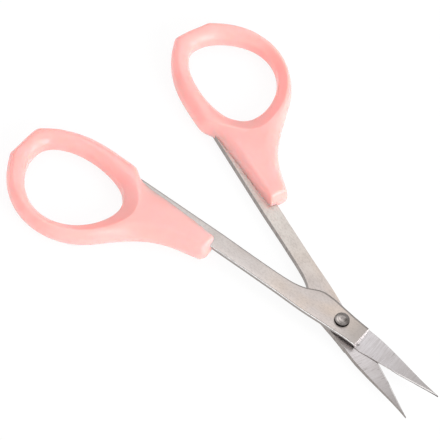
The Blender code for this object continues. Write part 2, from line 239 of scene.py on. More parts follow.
# Ring and stem: sizes, heights as shares of half the thickness, and creases
HALF_THICKNESS = 3.0 * mm
RING_WALL = 4.0 * mm
BOWL_WIDTH = 4.0 * mm
CLOSED_GAP = 0.3 * mm
SHOULDER_REACH = 60.6 * mm
SHOULDER_RUN = 1.2 * mm
FRONT_REACH = 34.4 * mm
STEM_WIDTH = 5.4 * mm
STEM_INSET = 2.1 * mm
RIM_HEIGHT_SHARE = 0.45
OUTER_HEIGHT_SHARE = 0.42
SHOULDER_HEIGHT_SHARE = 0.75
INNER_HEIGHT_SHARE = 0.6
FRONT_HEIGHT_SHARE = 0.35
CREST_SHARE = 0.5
FAR_CREST_SHARE = 0.19
CREST_CREASE = 0.35
BOWL_CREASE = 0.5
FACET_CREASE = 0.5
RIM_CREASE = 0.35
FRONT_CREASE = 0.5
MIRROR_WELD = 0.01 * mm
ROUNDING_LEVELS = 3

# Round the hole from its +X side: degrees of turn, share of the ring wall, share of the bowl width
RING_SHARES = (
    (0, 0.84, 0.74), (16, 1.08, 0.93), (32, 1.18, 0.93), (51, 1.40, 0.78), (61, 1.50, 0.60),
    (75, 1.34, 0.44), (90, 1.20, 0.34), (105, 1.12, 0.30), (120, 1.04, 0.30), (137, 1.08, 0.30),
    (150, 1.28, 0.32), (159, 1.14, 0.32), (172, 1.055, 0.32), (184, 1.25, 0.32),
    (193, 1.155, 0.30), (206, 1.09, 0.29), (222, 1.00, 0.30), (240, 0.89, 0.33),
    (258, 0.787, 0.38), (276, 0.74, 0.42), (294, 0.76, 0.47), (312, 0.88, 0.57),
    (330, 1.05, 0.64), (345, 0.97, 0.69),
)
# Stations of the ring: those that the stem grows from, the shoulder's corner, the creased part of
# the bowl, the corners of the flat facet and the creased part of the crest
STEM_STATIONS = (-2, -1, 0, 1, 2, 3)
SHOULDER_STATION = STEM_STATIONS[-1] + 1
BOWL_STATIONS = (-4, -3, -2, -1, 0, 1, 2, 3)
FACET_STATIONS = (10, 13)
CREST_STATIONS = (8, 9, 10, 11, 12, 13, 14, 15, 16, 17)
# Strip of steel left bare beside the stem, and the share of it that each row's foot stands back
BARE_STRIP = 1.1 * mm
BARE_STRIP_SHARES = (0.35, 0.55, 0.6, 0.6, 0.6, 0.5)
# Rows of the stem, inner edge and outer edge: share of the way from shoulder to front, and share
# of the stem's inset for the inner edge, of its width past that inset for the outer edge
STEM_ROWS_SHARES = (
    ((0.30, 0.95), (0.40, 2.50)),
    ((0.51, 0.98), (0.60, 1.74)),
    ((0.73, 1.02), (0.79, 1.42)),
    ((0.945, 1.13), (0.95, 1.20)),
    ((0.985, 1.30), (1.00, 1.02)),
)


def linear(code):
    """Linear colour of an sRGB hex value, by the curve of the sRGB standard."""
    parts = [int(code[i:i + 2], 16) / 255 for i in (1, 3, 5)]
    return (*[p / 12.92 if p <= 0.04045 else ((p + 0.055) / 1.055) ** 2.4 for p in parts], 1.0)


def fill(socket, value):
    """Sets a socket's own value, where a text is an sRGB hex value."""
    socket.default_value = linear(value) if isinstance(value, str) else value


def node(tree, kind, inputs=None, **settings):
    """Adds a shader node, sets its properties, and links or sets its inputs."""
    item = tree.nodes.new(kind)
    for name, value in settings.items():
        setattr(item, name, value)
    for socket, source in (inputs or {}).items():
        if isinstance(source, bpy.types.NodeSocket):
            tree.links.new(source, item.inputs[socket])
        else:
            fill(item.inputs[socket], source)
    return item


def material(name, **values):
    """A new material with values on its shader's own sockets, its node tree and its shader."""
    made = bpy.data.materials.new(name)
    made.use_nodes = True
    shader = made.node_tree.nodes["Principled BSDF"]
    for socket, value in values.items():
        fill(shader.inputs[socket.replace("_", " ").title()], value)
    return made, made.node_tree, shader


def own_place(tree, turn):
    """Places on a half in metres, with X along it however far it is turned at rest."""
    place = node(tree, "ShaderNodeTexCoord")
    inputs = {"Vector": place.outputs["Object"], "Rotation": (0, 0, turn)}
    return node(tree, "ShaderNodeMapping", inputs, vector_type="TEXTURE").outputs["Vector"]


def grain(tree, place, spans, detail=2.0):
    """Noise with its own lengths along, across and up, in metres."""
    inputs = {"Vector": place, "Scale": spans}
    laid = node(tree, "ShaderNodeMapping", inputs, vector_type="TEXTURE").outputs["Vector"]
    inputs = {"Vector": laid, "Scale": 1.0, "Detail": detail}
    return node(tree, "ShaderNodeTexNoise", inputs).outputs["Fac"]


def axis_distance(tree, place):
    """Distance from the rivet's axis in metres."""
    inputs = {0: place, 1: (1, 1, 0)}
    flat = node(tree, "ShaderNodeVectorMath", inputs, operation="MULTIPLY").outputs["Vector"]
    return node(tree, "ShaderNodeVectorMath", {0: flat}, operation="LENGTH").outputs["Value"]


def layer(tree, under, over, source, low, high, most=1.0):
    """Lays a colour over another where a value goes from low to high, at most by a share.

    A colour mix has its share at input 0, its colours at 6 and 7 and its result at output 2.
    """
    limits = {"Value": source, "From Min": low, "From Max": high, "To Max": most}
    share = node(tree, "ShaderNodeMapRange", limits).outputs["Result"]
    return node(tree, "ShaderNodeMix", {0: share, 6: under, 7: over}, data_type="RGBA").outputs[2]


def raise_surface(tree, shader, base, source, relief):
    """Links a shader's colour, and lets its relief follow a pattern."""
    bump = node(tree, "ShaderNodeBump", {"Height": source, "Strength": 1.0, "Distance": relief})
    tree.links.new(base, shader.inputs["Base Color"])
    tree.links.new(bump.outputs["Normal"], shader.inputs["Normal"])


def surface(tree, shader, base, source, smooth, rough, relief):
    """Links a shader's colour, and lets its roughness and its relief follow a pattern."""
    limits = {"From Min": PATTERN_LOW, "From Max": PATTERN_HIGH, "To Min": smooth, "To Max": rough}
    spread = node(tree, "ShaderNodeMapRange", {"Value": source, **limits})
    tree.links.new(spread.outputs["Result"], shader.inputs["Roughness"])
    raise_surface(tree, shader, base, source, relief)


def moulded_plastic(name):
    """Pink ABS from a polished mould: an even gloss, a little translucent, with faint waves.

    The waves come from its shrinking. An uneven roughness would show as pale specks.
    """
    made, tree, shader = material(
        name, roughness=0.24, subsurface_weight=1.0, subsurface_radius=(1.0, 0.25, 0.2),
        subsurface_scale=6.0 * mm,
    )
    place = own_place(tree, 0)
    clouds = grain(tree, place, spans=(9 * mm, 9 * mm, 9 * mm), detail=1.0)
    waves = grain(tree, place, spans=(2.2 * mm, 2.2 * mm, 2.2 * mm), detail=1.0)
    base = layer(tree, "#FFB5B0", "#FFB9B5", clouds, low=0.35, high=0.65)
    raise_surface(tree, shader, base, waves, relief=0.004 * mm)
    return made


def satin_steel(name, turn, shank_colour):
    """Stainless sheet tumbled to a satin: sandy, clouded, warm by the rivet and dull by the step.

    A near-black ring round the rivet's head is painted shadow, the shade that the head casts at its
    foot.
    """
    made, tree, shader = material(name, metallic=1.0)
    place = own_place(tree, turn)
    sand = grain(tree, place, spans=(0.6 * mm, 0.3 * mm, 0.3 * mm), detail=3.0)
    clouds = grain(tree, place, spans=(5 * mm, 3 * mm, 3 * mm))
    tint = grain(tree, place, spans=(11 * mm, 6 * mm, 6 * mm), detail=1.0)
    along = node(tree, "ShaderNodeSeparateXYZ", {"Vector": place}).outputs["X"]
    radius = axis_distance(tree, place)
    head_shade_edge = HEAD_RADIUS + HEAD_SHADE_WIDTH
    warm = layer(tree, "#C8BFBB", "#D3C3B6", tint, low=0.4, high=0.6)
    base = layer(tree, shank_colour, warm, along, low=-24 * mm, high=-10 * mm)
    base = layer(tree, base, "#B3A8A2", clouds, low=0.35, high=0.7, most=0.4)
    base = layer(tree, base, "#A29D9A", along, low=-1 * mm, high=4.5 * mm, most=0.75)
    base = layer(tree, base, "#958D89", sand, low=0.45, high=0.7, most=0.3)
    # Painted shadow: a near-black ring on the plate round the rivet, where its head shades it
    base = layer(tree, base, "#1F1B19", radius, low=head_shade_edge, high=HEAD_RADIUS, most=0.95)
    surface(tree, shader, base, sand, smooth=0.30, rough=0.42, relief=0.006 * mm)
    return made


def cross_ground_steel(name, turn, heel_colour, tip_colour):
    """Stainless steel ground across the blade: close lines, a few deeper scratches, painted shade.

    The grit's own lines are a third of this spacing, too fine to show, so they are drawn coarser.
    """
    made, tree, shader = material(name, metallic=1.0)
    place = own_place(tree, turn)
    lines = grain(tree, place, spans=(0.17 * mm, 5 * mm, 5 * mm), detail=3.0)
    scratches = grain(tree, place, spans=(0.3 * mm, 3 * mm, 3 * mm), detail=1.0)
    clouds = grain(tree, place, spans=(4 * mm, 2.5 * mm, 2.5 * mm))
    along = node(tree, "ShaderNodeSeparateXYZ", {"Vector": place}).outputs["X"]
    # Painted shade: a dark patch at the step's foot, laid on by the last layer below
    step_shade = {"Location": STEP_SHADE_PLACE, "Rotation": (0, 0, STEP_SHADE_TURN), "Scale": STEP_SHADE_SPANS}
    step_shade = node(tree, "ShaderNodeMapping", {"Vector": place, **step_shade}, vector_type="TEXTURE")
    inputs = {0: step_shade.outputs["Vector"]}
    off = node(tree, "ShaderNodeVectorMath", inputs, operation="LENGTH").outputs["Value"]
    base = layer(tree, heel_colour, tip_colour, along, low=8 * mm, high=26 * mm)
    base = layer(tree, base, "#ABA4A2", clouds, low=0.35, high=0.7, most=0.3)
    base = layer(tree, base, "#9B9492", lines, low=0.42, high=0.68, most=0.38)
    base = layer(tree, base, "#7F7875", scratches, low=0.66, high=0.74, most=0.5)
    base = layer(tree, base, "#4A4340", off, low=1.0, high=0.4, most=0.8)
    surface(tree, shader, base, lines, smooth=0.27, rough=0.40, relief=0.008 * mm)
    return made


def sheared_steel(name, turn, light, dark):
    """Steel with fine upright tears, rougher than faces; some copies paint light and shade."""
    made, tree, shader = material(name, metallic=1.0)
    spans = (0.25 * mm, 0.25 * mm, 2 * mm)
    tears = grain(tree, own_place(tree, turn), spans, detail=3.0)
    base = layer(tree, light, dark, tears, low=0.35, high=0.65, most=0.6)
    surface(tree, shader, base, tears, smooth=0.4, rough=0.5, relief=0.02 * mm)
    return made


def tumbled_steel(name, turn):
    """The rounded edges, which tumbling polishes most: each shows as a thin bright or dark line."""
    made, tree, shader = material(name, metallic=1.0)
    sand = grain(tree, own_place(tree, turn), spans=(0.8 * mm, 0.3 * mm, 0.3 * mm))
    base = layer(tree, "#CCC9C8", "#A19D9B", sand, low=0.4, high=0.7, most=0.5)
    surface(tree, shader, base, sand, smooth=0.18, rough=0.28, relief=0.005 * mm)
    return made


def honed_steel(name, turn):
    """Steel of the step and bevels, honed on a stone: short cross lines and a soft pale gleam."""
    made, tree, shader = material(name, metallic=1.0)
    lines = grain(tree, own_place(tree, turn), spans=(0.2 * mm, 1.5 * mm, 1.5 * mm))
    base = layer(tree, "#D8D4D3", "#BBB6B4", lines, low=0.4, high=0.7, most=0.4)
    surface(tree, shader, base, lines, smooth=0.40, rough=0.46, relief=0.003 * mm)
    return made


def turned_steel(name):
    """Lathe-turned steel: rings draw each light out into a spoke, and a painted dark reflection."""
    made, tree, shader = material(name, metallic=1.0, anisotropic=0.8)
    place = node(tree, "ShaderNodeTexCoord").outputs["Object"]
    radius = axis_distance(tree, place)
    inputs = {"W": radius, "Scale": 1 / TURNED_SPACING}
    rings = node(tree, "ShaderNodeTexNoise", inputs, noise_dimensions="1D").outputs["Fac"]
    inputs = {"Vector": place, "Rotation": (0, 0, WEDGE_TURN)}
    inputs = {"Vector": node(tree, "ShaderNodeMapping", inputs).outputs["Vector"]}
    angle = node(tree, "ShaderNodeTexGradient", inputs, gradient_type="RADIAL").outputs["Fac"]
    off = node(tree, "ShaderNodeMath", {0: angle, 1: 0.5}, operation="SUBTRACT").outputs[0]
    side = node(tree, "ShaderNodeMath", {0: off}, operation="ABSOLUTE").outputs[0]
    base = layer(tree, "#B0A9A5", "#787170", rings, low=0.42, high=0.62, most=0.7)
    # Painted dark reflection: a dark wedge on the dome, where the turned rings' spoke would reflect
    # dark
    darker = layer(tree, base, "#3E3936", side, low=0.15, high=0.04, most=0.8)
    base = layer(tree, base, darker, radius, *WEDGE_RADII)
    surface(tree, shader, base, rings, smooth=0.2, rough=0.3, relief=0.02 * mm)
    tangent = node(tree, "ShaderNodeTangent", direction_type="RADIAL", axis="Z")
    tree.links.new(tangent.outputs["Tangent"], shader.inputs["Tangent"])
    return made


def only(item):
    """Selects one object alone."""
    bpy.ops.object.select_all(action="DESELECT")
    item.select_set(True)
    bpy.context.view_layer.objects.active = item


def apply(item, kind, **settings):
    """Adds a modifier with its settings and applies it."""
    only(item)
    modifier = item.modifiers.new(kind.lower(), kind)
    for name, value in settings.items():
        setattr(modifier, name, value)
    bpy.ops.object.modifier_apply(modifier=modifier.name)


def shape():
    """The mesh that is open for editing."""
    return bmesh.from_edit_mesh(bpy.context.edit_object.data)


def at_height(spot, height):
    """The place at a height over or under a spot."""
    return Vector((spot.x, spot.y, height))


def select_row(row, closed=False):
    """Selects the edges between neighbouring places of a row."""
    bpy.ops.mesh.select_all(action="DESELECT")
    mesh = shape()
    found = {tuple(vertex.co): vertex for vertex in mesh.verts}
    ends = row[1:] + row[:1] if closed else row[1:]
    for start, end in zip(row, ends):
        mesh.edges.get((found[tuple(start)], found[tuple(end)])).select_set(True)
    bmesh.update_edit_mesh(bpy.context.edit_object.data)


def move_selected(row, places):
    """Moves the selected vertices at the row's places to new places."""
    moves = {tuple(start): end for start, end in zip(row, places)}
    for vertex in shape().verts:
        if vertex.select:
            vertex.co = moves[tuple(vertex.co)]
    bmesh.update_edit_mesh(bpy.context.edit_object.data)


def move_row(row, places):
    """Moves a row to new places and returns these."""
    select_row(row)
    move_selected(row, places)
    return places


def extrude_row(row, places, closed=False):
    """Extrudes the edges of a row, moves the new row to its places and returns these."""
    select_row(row, closed)
    bpy.ops.mesh.extrude_edges_move()
    move_selected(row, places)
    return places


def crease_row(row, sharpness, closed=False):
    """Creases the edges of a row, so that rounding keeps them sharper."""
    select_row(row, closed)
    bpy.ops.transform.edge_crease(value=sharpness)


def close_end(row):
    """Closes the open end of a row with one face."""
    select_row(row, closed=True)
    bpy.ops.mesh.edge_face_add()


def first_row(name, places, radius, first_turn=0):
    """Starts a piece as a circle, and moves its vertices, in turn from a first turn, to places.

    The piece is left open for editing.
    """
    bpy.ops.object.select_all(action="DESELECT")
    bpy.ops.mesh.primitive_circle_add(vertices=len(places), radius=radius)
    item = bpy.context.object
    item.name = name
    bpy.ops.object.mode_set(mode="EDIT")
    bpy.ops.mesh.select_mode(type="EDGE")
    bpy.ops.mesh.select_all(action="SELECT")
    circle = [vertex.co.copy() for vertex in shape().verts]
    circle.sort(key=lambda co: (math.atan2(co.y, co.x) - first_turn) % (2 * math.pi))
    move_selected(circle, places)
    return item


def face_outwards():
    """Turns all faces of the open mesh outwards and ends its editing."""
    bpy.ops.mesh.select_all(action="SELECT")
    bpy.ops.mesh.normals_make_consistent(inside=False)
    bpy.ops.object.mode_set(mode="OBJECT")


def half_turn(turned_over):
    """How far a half is turned at rest from where it is closed."""
    return -REST_OPENING / 2 if turned_over else REST_OPENING / 2


def settle(item, turned_over):
    """Turns a closed half to its place at rest and keeps the place in the mesh."""
    turn = Euler((math.pi if turned_over else 0, 0, half_turn(turned_over)))
    only(item)
    item.matrix_world = Matrix.Translation((0, 0, MEETING_HEIGHT)) @ turn.to_matrix().to_4x4()
    bpy.ops.object.transform_apply(location=True, rotation=True, scale=True)


def give(item, slot, chosen):
    """Gives one of an object's materials to the faces that a test of centre and normal picks."""
    only(item)
    item.active_material_index = slot
    bpy.ops.object.mode_set(mode="EDIT")
    bpy.ops.mesh.select_mode(type="FACE")
    bpy.ops.mesh.select_all(action="DESELECT")
    for face in shape().faces:
        face.select_set(chosen(face.calc_center_median(), face.normal))
    bmesh.update_edit_mesh(item.data)
    bpy.ops.object.material_slot_assign()
    bpy.ops.object.mode_set(mode="OBJECT")


def hole_place(station, outward, height):
    """A point beside the finger hole's edge: station turns round it, outward is square to it."""
    turn = math.radians(RING_SHARES[station][0])
    s = math.sin(turn)
    c = math.cos(turn)
    bulge = 1 + EGG_SHARE * s + BLUNT_SHARE * s * s
    edge = Vector((HOLE_LENGTH / 2 * c * bulge + HOLE_LEAN * s, HOLE_WIDTH / 2 * s))
    along = Vector((
        HOLE_LENGTH / 2 * (-s * bulge + c * c * (EGG_SHARE + 2 * BLUNT_SHARE * s)) + HOLE_LEAN * c,
        HOLE_WIDTH / 2 * c,
    ))
    normal = Vector((along.y, -along.x)).normalized()
    return at_height(Vector((-HOLE_REACH, -HOLE_OFFSET)) + edge + normal * outward, height)


def crest_share(station):
    """How far out the ring's crest lies from bowl to outside: farther at the end past the hole."""
    turn = math.radians(RING_SHARES[station][0])
    return CREST_SHARE + FAR_CREST_SHARE * max(0, -math.cos(turn))


def ring_outline(stations):
    """Places along the outside of the ring. The shoulder's corner and foot follow the shank."""
    outer_height = OUTER_HEIGHT_SHARE * HALF_THICKNESS
    shoulder_height = SHOULDER_HEIGHT_SHARE * HALF_THICKNESS
    places = []
    for station in stations:
        places.append(hole_place(station, RING_SHARES[station][1] * RING_WALL, outer_height))
    corner = Vector((-SHOULDER_REACH, -CLOSED_GAP / 2, shoulder_height))
    foot = Vector((SHOULDER_RUN - SHOULDER_REACH, -STEM_INSET, shoulder_height))
    places[SHOULDER_STATION] = corner
    places[STEM_STATIONS[-1]] = foot
    return places


def stem_row(shares):
    """Places across the stem, from its outer to its inner edge, with the crest between them."""
    way = SHOULDER_REACH - FRONT_REACH
    (inner_along, inner_share), (outer_along, outer_share) = shares
    inner = Vector((inner_along * way - SHOULDER_REACH, -inner_share * STEM_INSET, 0))
    inner.z = INNER_HEIGHT_SHARE * HALF_THICKNESS
    outer = Vector((outer_along * way - SHOULDER_REACH, -STEM_INSET - outer_share * STEM_WIDTH, 0))
    outer.z = OUTER_HEIGHT_SHARE * HALF_THICKNESS
    count = len(STEM_STATIONS) - 1
    row = [outer.lerp(inner, step / count) for step in range(count + 1)]
    for spot in row[1:-1]:
        spot.z = HALF_THICKNESS
    return row


def grow_stem(foot):
    """Grows the stem from its foot on the ring and lowers its front end. Returns all its rows."""
    lifted = [at_height(spot, HALF_THICKNESS) for spot in foot[1:-1]]
    rows = [move_row(foot, [foot[0]] + lifted + [foot[-1]])]
    for shares in STEM_ROWS_SHARES:
        rows.append(extrude_row(rows[-1], stem_row(shares)))
    front_height = FRONT_HEIGHT_SHARE * HALF_THICKNESS
    rows[-1] = move_row(rows[-1], [at_height(spot, front_height) for spot in rows[-1]])
    return rows


def handle(name, turned_over):
    """One moulded handle: the upper side is grown from the finger hole, mirrored and rounded."""
    stations = range(len(RING_SHARES))
    hole = [hole_place(station, 0, 0) for station in stations]
    rim = [hole_place(station, 0, RIM_HEIGHT_SHARE * HALF_THICKNESS) for station in stations]
    bowl = []
    crest = []
    outer = ring_outline(stations)
    for station in stations:
        bowl.append(hole_place(station, RING_SHARES[station][2] * BOWL_WIDTH, HALF_THICKNESS))
        between = bowl[station].lerp(outer[station], crest_share(station))
        crest.append(at_height(between, HALF_THICKNESS))
    item = first_row(name, hole, HOLE_WIDTH / 2)
    for start, end in ((hole, rim), (rim, bowl), (bowl, crest), (crest, outer)):
        extrude_row(start, end, closed=True)
    rows = grow_stem([outer[station] for station in STEM_STATIONS])
    outer_side = [row[0] for row in rows[1:]]
    inner_side = [row[-1] for row in reversed(rows[1:])]
    around = outer[STEM_STATIONS[-1]:STEM_STATIONS[0]] + [outer[STEM_STATIONS[0]]]
    outline = around + outer_side + rows[-1][1:-1] + inner_side
    extrude_row(outline, [at_height(spot, 0) for spot in outline], closed=True)
    crease_row([bowl[station] for station in BOWL_STATIONS], BOWL_CREASE)
    crease_row(rim, RIM_CREASE, closed=True)
    crease_row([crest[station] for station in CREST_STATIONS], CREST_CREASE)
    crease_row(rows[-2], FRONT_CREASE)
    for station in FACET_STATIONS:
        corner = outer[station]
        crease_row([crest[station], corner, at_height(corner, 0)], FACET_CREASE)
    bpy.ops.object.mode_set(mode="OBJECT")
    apply(item, "MIRROR", use_axis=(False, False, True), merge_threshold=MIRROR_WELD)
    bpy.ops.object.mode_set(mode="EDIT")
    bare_strip([row[-1] for row in rows])
    bpy.ops.object.mode_set(mode="OBJECT")
    apply(item, "SUBSURF", levels=ROUNDING_LEVELS, render_levels=ROUNDING_LEVELS)
    bpy.ops.object.mode_set(mode="EDIT")
    face_outwards()
    bpy.ops.object.shade_smooth()
    settle(item, turned_over)
    return item


def bare_strip(edge):
    """Sets the foot of the stem's inner edge back, on the side that meets the other half."""
    setbacks = [Vector((0, BARE_STRIP * share, 0)) for share in BARE_STRIP_SHARES]
    middle = [at_height(spot, 0) for spot in edge]
    lower = [at_height(spot, -spot.z) for spot in edge]
    for foot in (middle, lower):
        move_row(foot, [spot - setback for spot, setback in zip(foot, setbacks)])


def drawn_line(knots):
    """Points along a smooth line drawn through its knots, where a knot may be a corner."""
    bpy.ops.curve.primitive_bezier_curve_add()
    item = bpy.context.object
    spline = item.data.splines[0]
    spline.bezier_points.add(len(knots) - len(spline.bezier_points))
    for knot, (x, y, kind) in zip(spline.bezier_points, knots):
        knot.co = (x, y, 0)
        knot.handle_left_type = kind
        knot.handle_right_type = kind
    item.data.resolution_u = LINE_STEPS
    bpy.ops.object.convert(target="MESH")
    points = [vertex.co.copy() for vertex in item.data.vertices]
    bpy.data.objects.remove(item)
    return points


def across_at(line, x):
    """Where a drawn line lies across the blank at a distance along it."""
    for start, end in zip(line, line[1:]):
        if start.x <= x <= end.x:
            return start.lerp(end, (x - start.x) / (end.x - start.x)).y
    return line[-1].y


def shank_edge(reach):
    """Inner edge of the shank behind the rivet: it falls away from the centre line."""
    return -SHANK_SPLAY * (reach - NECK_REACH) / (TANG_REACH - NECK_REACH)


def share_knots(shares, start, reach):
    """Knots by their shares of a reach along the blank and of half the pivot width across it."""
    return [(start + along * reach, across * HALF_PIVOT_WIDTH, "AUTO") for along, across in shares]


def blank_lines(reach):
    """Back edge and cutting edge of the blank, each drawn from the tang's point to the tip."""
    blade_length = reach - STEP_REACH
    tang = shank_edge(TANG_REACH)
    neck = shank_edge(NECK_REACH)
    point = -TANG_REACH - TANG_POINT_LENGTH
    tip = (reach, TIP_SHARE * HALF_PIVOT_WIDTH, "VECTOR")
    back = [
        (point, tang - TANG_FALL, "VECTOR"),
        (-BEND_REACH, shank_edge(BEND_REACH), "AUTO"),
        (-FRONT_REACH, shank_edge(FRONT_REACH), "AUTO"),
        (-NECK_REACH, neck, "AUTO"),
    ]
    top = BOLSTER_SHARES[-1][1] * HALF_PIVOT_WIDTH
    for way, down in reversed(SWEEP_SHARES):
        along = -BOLSTER_REACH - way * (NECK_REACH - BOLSTER_REACH)
        back.append((along, top + down * (neck - top), "AUTO"))
    back += share_knots(reversed(BOLSTER_SHARES), 0, BOLSTER_REACH)
    back += share_knots(BACK_EDGE_SHARES, STEP_REACH, blade_length)
    edge = [
        (point, tang - TANG_POINT_WIDTH, "VECTOR"),
        (-TANG_REACH, tang - TANG_WIDTH, "VECTOR"),
        (-FRONT_REACH, shank_edge(FRONT_REACH) - SHANK_WIDTH, "VECTOR"),
        (-NECK_REACH, neck - SHANK_WIDTH, "AUTO"),
    ]
    edge += share_knots(BELLY_SHARES, 0, NECK_REACH)
    edge += share_knots(CUTTING_EDGE_SHARES, STEP_REACH, blade_length)
    return drawn_line(back + [tip]), drawn_line(edge + [tip])


def ease(value, start, end):
    """Nought before the start, one past the end and a smooth rise between them."""
    share = min(max((value - start) / (end - start), 0), 1)
    return share * share * (3 - 2 * share)


def ground_height(x, y, reach):
    """Height of the ground face past the step, lower towards the cutting edge and the tip."""
    back = BACK_EDGE_SHARES[0][1] * HALF_PIVOT_WIDTH
    edge = CUTTING_EDGE_SHARES[0][1] * HALF_PIVOT_WIDTH
    across = GRIND_FALL_TO_EDGE * (back - y) / (back - edge)
    along = GRIND_FALL_TO_TIP * (x - STEP_REACH) / (reach - STEP_REACH)
    return PLATE_TOP - STEP_DEPTH - across - along


def rounding_widths(x, reach, ground):
    """Widths of the rounding along the back and of the rounding or bevel on the cutting side."""
    if not ground:
        bolster = ease(x, -NECK_REACH, -BOLSTER_REACH)
        back_share = SHANK_ROUND_SHARE + (1 - SHANK_ROUND_SHARE) * bolster
        return BACK_ROUND_RUN * back_share, EDGE_ROUND
    way = (x - STEP_REACH) / (reach - STEP_REACH)
    honed = ease(way, BEVEL_START_SHARE, BEVEL_FULL_SHARE) * (1 - ease(way, BEVEL_END_SHARE, 1))
    edge_width = GROUND_EDGE_ROUND + honed * (BEVEL_WIDTH - GROUND_EDGE_ROUND)
    return BACK_ROUND_RUN * (1 - way) + GROUND_EDGE_ROUND * way, edge_width


def section(x, lines, reach, ground):
    """One closed section of the blade: up its back wall, over the outer face, back underneath."""
    back = across_at(lines[0], x)
    foot_edge = across_at(lines[1], x)
    overhang = 0 if ground else EDGE_OVERHANG * ease(x, -TANG_REACH, -FRONT_REACH)
    edge = foot_edge - overhang
    width = back - edge
    inner_drop = (INNER_FACE_HEIGHT - PLATE_BOTTOM) * ease(x, RELIEF_FULL, STEP_REACH)
    bottom = PLATE_BOTTOM + inner_drop
    relief = 0 if ground else ease(x, RELIEF_START, RELIEF_FULL)

    def top(y):
        return ground_height(x, y, reach) if ground else PLATE_TOP

    back_run, edge_run = rounding_widths(x, reach, ground)
    back_run = min(back_run, width * ROUND_SHARE)
    back_drop = BACK_ROUND_DROP * back_run / BACK_ROUND_RUN
    edge_run = min(edge_run, width * ROUND_SHARE, (top(edge) - bottom) * WALL_ROUND_SHARE)
    points = [(back, bottom)]
    for step in range(ARC_STEPS + 1):
        turn = math.pi / 2 * step / ARC_STEPS
        y = back - back_run * (1 - math.cos(turn))
        points.append((y, top(y) - back_drop * (1 - math.sin(turn))))
    inner_back = back - back_run
    inner_edge = edge + edge_run
    for step in range(1, FACE_STEPS):
        y = inner_back + (inner_edge - inner_back) * step / FACE_STEPS
        points.append((y, top(y)))
    for step in range(ARC_STEPS, -1, -1):
        turn = math.pi / 2 * step / ARC_STEPS
        share = step / ARC_STEPS
        inward = share if ground else 1 - math.cos(turn)
        drop = 1 - share if ground else 1 - math.sin(turn)
        y = edge + edge_run * inward
        points.append((y, top(y) - edge_run * drop))
    wall = points[-1][1] - bottom
    foot = max(RELIEF_HEIGHT * relief, min(wall * WALL_FOOT_SHARE, INNER_BEVEL_HEIGHT))
    bevel = min(INNER_BEVEL_WIDTH, width * ROUND_SHARE)
    under_edge = foot_edge + (bevel if ground else RELIEF_DEPTH * relief)
    halfway = ((foot_edge + under_edge) / 2, bottom + foot / 2)
    corner = (under_edge, bottom + foot) if relief else halfway
    points += [(foot_edge, bottom + foot), corner, (under_edge, bottom)]
    for step in range(1, FACE_STEPS):
        points.append((under_edge + (back - under_edge) * step / FACE_STEPS, bottom))
    return [Vector((x, y, z)) for y, z in points]


def step_foot(row, lines):
    """Moves the outer face of the first ground section forward, so that the step slopes."""
    back = across_at(lines[0], STEP_REACH)
    edge = across_at(lines[1], STEP_REACH)
    moved = []
    for spot in row:
        share = (back - spot.y) / (back - edge)
        raised = min(max((spot.z - INNER_FACE_HEIGHT) / STEP_DEPTH, 0), 1)
        run = STEP_RUN_BACK + share * (STEP_RUN_EDGE - STEP_RUN_BACK)
        moved.append(spot + Vector((raised * run, 0, 0)))
    return moved


def places_between(start, end):
    """Evenly spaced distances between two others, without the two."""
    count = max(round((end - start) / STATION_SPACING), 1)
    return [start + (end - start) * step / count for step in range(1, count)]


def blade(name, turned_over, reach, finishes):
    """One steel half, grown section by section from the tang's point to the tip, and drilled."""
    lines = blank_lines(reach)
    point = -TANG_REACH - TANG_POINT_LENGTH
    halfway = -NECK_REACH - (FRONT_REACH - NECK_REACH) / 2
    neck = -NECK_REACH - NECK_LEAD
    shank = [point, -TANG_REACH, -FRONT_REACH, halfway, neck]
    shank += places_between(neck, STEP_REACH) + [STEP_REACH]
    tip = reach - TIP_SETBACK
    ground = places_between(STEP_REACH + STEP_RUN_EDGE, tip) + [tip]
    rows = [section(x, lines, reach, False) for x in shank]
    rows.append(step_foot(section(STEP_REACH, lines, reach, True), lines))
    rows += [section(x, lines, reach, True) for x in ground]
    item = first_row(name, rows[0], SHANK_WIDTH, -math.pi)
    for start, end in zip(rows, rows[1:]):
        extrude_row(start, end, closed=True)
    close_end(rows[0])
    close_end(rows[-1])
    face_outwards()
    bpy.ops.object.select_all(action="DESELECT")
    bpy.ops.mesh.primitive_cylinder_add(
        vertices=HOLE_SIDES, radius=HOLE_RADIUS, depth=DRILL_LENGTH,
    )
    drill = bpy.context.object
    apply(item, "BOOLEAN", object=drill, operation="DIFFERENCE", solver="EXACT")
    bpy.data.objects.remove(drill)
    only(item)
    bpy.ops.object.shade_smooth_by_angle(angle=SMOOTH_ANGLE)
    finish_blade(item, reach, finishes)
    settle(item, turned_over)
    return item


